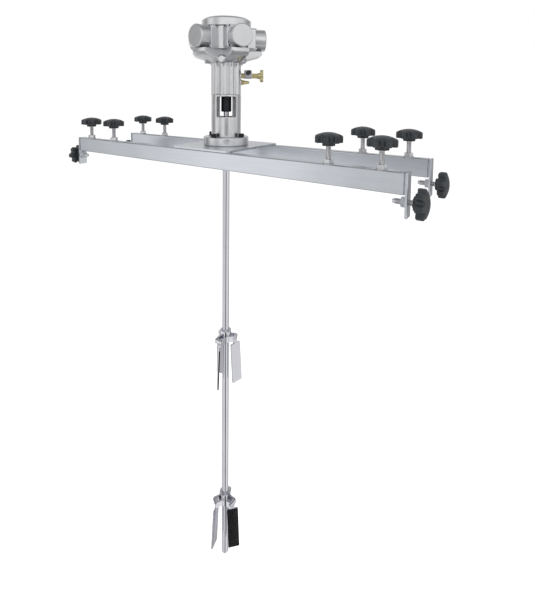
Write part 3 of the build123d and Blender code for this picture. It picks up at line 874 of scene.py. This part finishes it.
def add_bosses(build):
    """A round boss at the head of each broad rib."""
    length = boss_reach - boss_start_mm * MM
    for angle in valley_angles:
        out = outward(angle)
        start = out * boss_start_mm * MM
        start.z = boss_z
        rings = [circle(boss_size + boss_root, 0), circle(boss_size, length - boss_rim)]
        rings.append(circle(boss_size - boss_rim_step, length - boss_rim_step))
        rings.append(circle(boss_size - boss_rim, length))
        skin(build, placed(rings, axis_frame(start, out, (0, 0, 1))))


def add_flare(build):
    """The ribs' outward sweep from the column into the bowl."""
    rings = [circle(flare_core, flare_bottom, flare_points)]
    for k in range(flare_steps + 1):
        part = k / flare_steps
        swell = flare_reach * (1 - math.sqrt(1 - part**2)) - flare_sink
        height = flare_bottom + (flare_top - flare_bottom) * part
        rings.append(circle(0, height, flare_points, lambda turn: column_radius(turn) + swell))
    rings.append(circle(flare_core, flare_top, flare_points))
    skin(build, rings)


# The housing's rear window is narrower than its front one
window_turn = math.radians(130)
window_low, window_high = 127.0 * MM, 190.0 * MM
rear_half, front_half = 18.0 * MM, 28.0 * MM
wall_outer, wall_inner = 41.7 * MM, 31.0 * MM
wall_steps = 8


def add_window_sides(build):
    """Two walls, one at each side of the window, that narrow it towards the rear."""
    for hand in (-1, 1):
        outline = []
        outside, inside = (wall_outer, rear_half, front_half), (wall_inner, front_half, rear_half)
        for radius, low, high in (outside, inside):
            for k in range(wall_steps + 1):
                side = low + (high - low) * k / wall_steps
                turn = window_turn + hand * math.asin(side / radius)
                outline.append(Vector((radius * math.cos(turn), radius * math.sin(turn), 0)))
        rings = []
        for height in (window_low, window_high):
            rings.append([p + Vector((0, 0, height)) for p in outline])
        skin(build, rings)


valley_apex = 45.0 * MM
valley_reach = 125.0 * MM
valley_low, valley_high = 270.0 * MM, 316.8 * MM
cast_thinning = 0.4


def valley_cutter():
    """Five wedges that open the valleys between the chins under the cylinders."""
    build = bmesh.new()
    half = (valley_reach - valley_apex) * math.tan(math.radians(cylinder_step / 2))
    for angle in valley_angles:
        turn = Matrix.Rotation(math.radians(angle), 4, "Z")
        corners = ((valley_apex, 0), (valley_reach, -half), (valley_reach, half))
        rings = []
        for height in (valley_low, valley_high):
            rings.append([turn @ Vector((x, y, height)) for x, y in corners])
        skin(build, rings)
    bmesh.ops.recalc_face_normals(build, faces=build.faces)
    return add_object("cutter", finished_mesh("cutter", build))


def evaluated(rough):
    """An object's mesh with its modifiers applied; the object goes."""
    depsgraph = bpy.context.evaluated_depsgraph_get()
    mesh = bpy.data.meshes.new_from_object(rough.evaluated_get(depsgraph), depsgraph=depsgraph)
    bpy.data.objects.remove(rough)
    return mesh


def casting(name, node, voxel, smoothing, additions, cutter=None):
    """A node's shape, carved and added to, with soft cast edges, as the piece that stands for it."""
    rough = add_object("rough", nodes[node].data.copy())
    weld = rough.modifiers.new("weld", "WELD")
    weld.merge_threshold = weld_distance
    if cutter:
        carve = rough.modifiers.new("carve", "BOOLEAN")
        carve.operation = "DIFFERENCE"
        carve.solver = "EXACT"
        carve.object = cutter
    mesh = evaluated(rough)
    if cutter:
        bpy.data.objects.remove(cutter)
    build = bmesh.new()
    build.from_mesh(mesh)
    extra = bmesh.new()
    for add in additions:
        add(extra)
    bmesh.ops.recalc_face_normals(extra, faces=extra.faces)
    build.from_mesh(finished_mesh("extra", extra))
    build.to_mesh(mesh)
    build.free()
    rough = add_object("rough", mesh)
    remesh = rough.modifiers.new("remesh", "REMESH")
    remesh.mode = "VOXEL"
    remesh.voxel_size = voxel
    soften = rough.modifiers.new("soften", "SMOOTH")
    soften.factor = 0.5
    soften.iterations = smoothing
    thin = rough.modifiers.new("thin", "DECIMATE")
    thin.ratio = cast_thinning
    build = bmesh.new()
    build.from_mesh(evaluated(rough))
    made = piece(name, build, "satin_aluminium", "mixer_frame", (node,), smooth=180)
    # The castings get the finish with painted shade in their hollows
    made.data.materials[0] = cast_skin_with_painted_shade
    return made


casting("motor_casting", "motor_body", 1.2 * MM, 5, (add_bosses, add_flare), valley_cutter())
casting("housing_casting", "coupling_housing", 1.0 * MM, 3, (add_window_sides,))

# ---------------------------------------------------------------- stage
floor_drop = 2.0 * MM
floor_size = 60.0
floor_glow = 0.56


def floor_material():
    """Pale matt floor: white to the camera where it is lit, and darker in the object's shadow."""
    made = Shader("studio_floor")
    made.shader.inputs["Roughness"].default_value = 0.9
    made.shader.inputs["Specular IOR Level"].default_value = 0.1
    speckle = made.noise(3, detail=3)
    made.colour(made.tint(speckle, (0.86, 0.86, 0.86), (0.88, 0.88, 0.88)))
    made.shader.inputs["Emission Color"].default_value = (1, 1, 1, 1)
    rays = made.add("ShaderNodeLightPath").outputs
    seen = made.combine("MAXIMUM", rays["Is Camera Ray"], rays["Is Glossy Ray"])
    clear = made.combine("MAXIMUM", seen, rays["Is Transmission Ray"])
    glow = made.add("ShaderNodeMath", operation="MULTIPLY")
    glow.inputs[1].default_value = floor_glow
    made.link(clear, glow.inputs[0])
    made.link(glow.outputs["Value"], made.shader.inputs["Emission Strength"])
    return made.material


build = bmesh.new()
floor_z = cad_box[0].z - floor_drop
half = floor_size / 2
corners = ((-half, -half), (half, -half), (half, half), (-half, half))
build.faces.new([build.verts.new((x, y, floor_z)) for x, y in corners])
floor = add_object("floor", finished_mesh("floor", build))
floor.data.materials.append(floor_material())
floor.visible_glossy = False

# ---------------------------------------------------------------- world and lamps
# Grey level round the horizon as metal sees it, by turn from -X through -Y: soft panels and gaps
studio_ring = (
    (0.000, 0.70),
    (0.025, 0.34),
    (0.080, 0.38),
    (0.120, 1.12),
    (0.165, 1.12),
    (0.205, 0.56),
    (0.240, 0.60),
    (0.270, 1.10),
    (0.318, 1.10),
    (0.334, 0.015),
    (0.396, 0.015),
    (0.414, 1.12),
    (0.460, 1.12),
    (0.500, 0.88),
    (0.590, 0.95),
    (0.650, 0.40),
    (0.710, 0.34),
    (0.760, 0.74),
    (0.860, 0.74),
    (0.950, 0.80),
    (1.000, 0.70),
)
# Above these heights a softbox stands over the dark gap, at the turns where it is given
high_softbox_level = 1.25
high_softbox_heights = (-0.03, 0.08)
high_softbox_turns = ((0.27, 0), (0.32, 1), (0.41, 1), (0.46, 0))
# The ring fades towards straight up and straight down, between these heights
zenith_level, zenith_fade = 0.5, (0.35, 0.85)
nadir_level, nadir_fade = 0.4, (-0.97, -0.78)
diffuse_sky = 0.55


def grey(level):
    return (level, level, level, 1)



world = bpy.data.worlds.new("studio")
bpy.context.scene.world = world
world.use_nodes = True
studio = Nodes(world.node_tree)
studio.tree.nodes.clear()
direction = studio.add("ShaderNodeTexCoord").outputs["Generated"]
gradient = studio.add("ShaderNodeTexGradient", gradient_type="RADIAL")
studio.link(direction, gradient.inputs["Vector"])
split = studio.add("ShaderNodeSeparateXYZ")
studio.link(direction, split.inputs["Vector"])
upward = split.outputs["Z"]


def by_turn(levels):
    """Grey by turn round the horizon, from pairs of turn and level."""
    ramp = studio.add("ShaderNodeValToRGB")
    studio.link(gradient.outputs["Fac"], ramp.inputs["Fac"])
    stops = ramp.color_ramp.elements
    stops[0].position, stops[0].color = levels[0][0], grey(levels[0][1])
    stops[1].position, stops[1].color = levels[-1][0], grey(levels[-1][1])
    for turn, level in levels[1:-1]:
        stops.new(turn).color = grey(level)
    return ramp.outputs["Color"]


def background(level):
    """A white background of some strength."""
    made = studio.add("ShaderNodeBackground")
    made.inputs["Color"].default_value = grey(1)
    made.inputs["Strength"].default_value = level
    return made


def shader_mix(share, low, high):
    """One background where share is 0, and another where it is 1."""
    made = studio.add("ShaderNodeMixShader")
    studio.link(share, made.inputs["Fac"])
    studio.link(low, made.inputs[1])
    studio.link(high, made.inputs[2])
    return made.outputs["Shader"]


lifted = studio.add("ShaderNodeMix", data_type="RGBA", blend_type="LIGHTEN")
lifted.inputs["B"].default_value = grey(high_softbox_level)
studio.link(by_turn(studio_ring), lifted.inputs["A"])
raised = studio.spread(upward, high_softbox_heights, (0, 1), "SMOOTHSTEP")
studio.link(studio.combine("MULTIPLY", raised, by_turn(high_softbox_turns)), lifted.inputs["Factor"])
overhead = studio.spread(upward, zenith_fade, (1.0, zenith_level))
underneath = studio.spread(upward, nadir_fade, (nadir_level, 1.0))

# Metal mirrors the ring, matt surfaces are lit by an even sky, and the camera sees white
mirrored = background(1)
studio.link(lifted.outputs["Result"], mirrored.inputs["Color"])
studio.link(studio.combine("MULTIPLY", overhead, underneath), mirrored.inputs["Strength"])
sky = background(diffuse_sky).outputs["Background"]
white = background(1).outputs["Background"]
rays = studio.add("ShaderNodeLightPath").outputs
surroundings = shader_mix(rays["Is Glossy Ray"], sky, mirrored.outputs["Background"])
clear_ray = studio.combine("MAXIMUM", rays["Is Camera Ray"], rays["Is Transmission Ray"])
output = studio.add("ShaderNodeOutputWorld")
studio.link(shader_mix(clear_ray, surroundings, white), output.inputs["Surface"])


def softbox(name, place, aim, size, power):
    """A square area lamp at a place, facing a point."""
    data = bpy.data.lights.new(name, "AREA")
    data.shape = "SQUARE"
    data.size = size
    data.energy = power
    lamp = add_object(name, data)
    lamp.visible_glossy = False
    lamp.location = place
    lamp.rotation_mode = "QUATERNION"
    lamp.rotation_quaternion = (Vector(aim) - Vector(place)).to_track_quat("-Z", "Y")


softbox("key_softbox", (-1.9, -2.1, 1.1), (0, 0, 0), 1.6, 38)
softbox("fill_softbox", (2.4, -1.2, 1.3), (0, 0, 0), 1.6, 18)
softbox("top_softbox", (0.2, 0.4, 3.0), (0, 0, 0), 2.2, 40)

bpy.context.scene.view_settings.view_transform = "Standard"

# ---------------------------------------------------------------- final update
bpy.context.view_layer.update()
